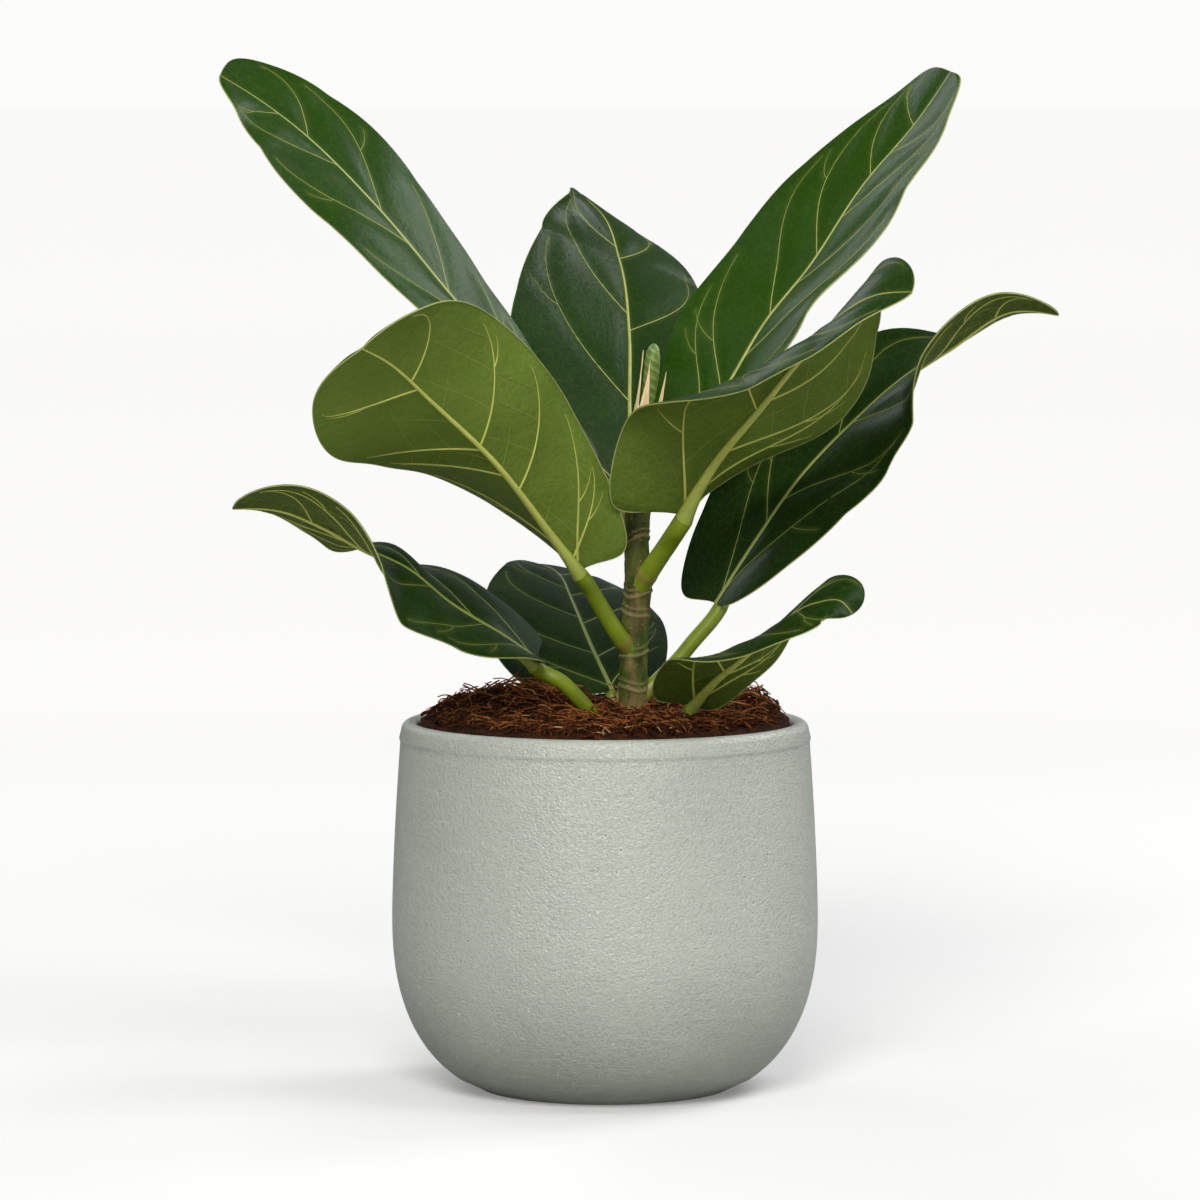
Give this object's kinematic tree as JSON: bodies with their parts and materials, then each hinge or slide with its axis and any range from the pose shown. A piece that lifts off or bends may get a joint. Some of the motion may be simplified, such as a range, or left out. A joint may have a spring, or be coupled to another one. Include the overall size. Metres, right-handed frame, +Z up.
{
  "type": "potted plant",
  "caption": "Young bengal fig with large leathery leaves on one upright trunk, growing in coir soil in a rounded grey-green glazed pot.",
  "frame": {"origin": "centre of the pot's base, on the surface it stands on", "axes": "+Z up along the trunk, -Y the front that the picture shows, +X to the right in the picture"},
  "size_m": [0.3344, 0.3409, 0.4096],
  "materials": {
    "pot_glaze": "semi-matt with fine worm-like relief",
    "soil": "loose fibrous coir",
    "bark": "smooth young bark with ring scars",
    "leaf_blade": "glossy above, matt and lighter below",
    "leaf_stalk": "satin",
    "new_leaf": "satin",
    "bud_sheath": "satin"
  },
  "bodies": {
    "root": {"pot": "pot_glaze", "soil": "soil", "trunk": "bark", "bud_sheath": "bud_sheath", "new_leaf": "new_leaf", "leaf_upper_left": "leaf_blade", "leaf_front_left": "leaf_blade", "leaf_back": "leaf_blade", "leaf_front_right": "leaf_blade", "leaf_upper_right": "leaf_blade", "leaf_right": "leaf_blade", "leaf_low_right": "leaf_blade", "leaf_low_left": "leaf_blade", "leaf_low_back": "leaf_blade", "stalk_upper_left": "leaf_stalk", "stalk_front_left": "leaf_stalk", "stalk_back": "leaf_stalk", "stalk_front_right": "leaf_stalk", "stalk_upper_right": "leaf_stalk", "stalk_right": "leaf_stalk", "stalk_low_right": "leaf_stalk", "stalk_low_left": "leaf_stalk", "stalk_low_back": "leaf_stalk"}
  },
  "joints": []
}
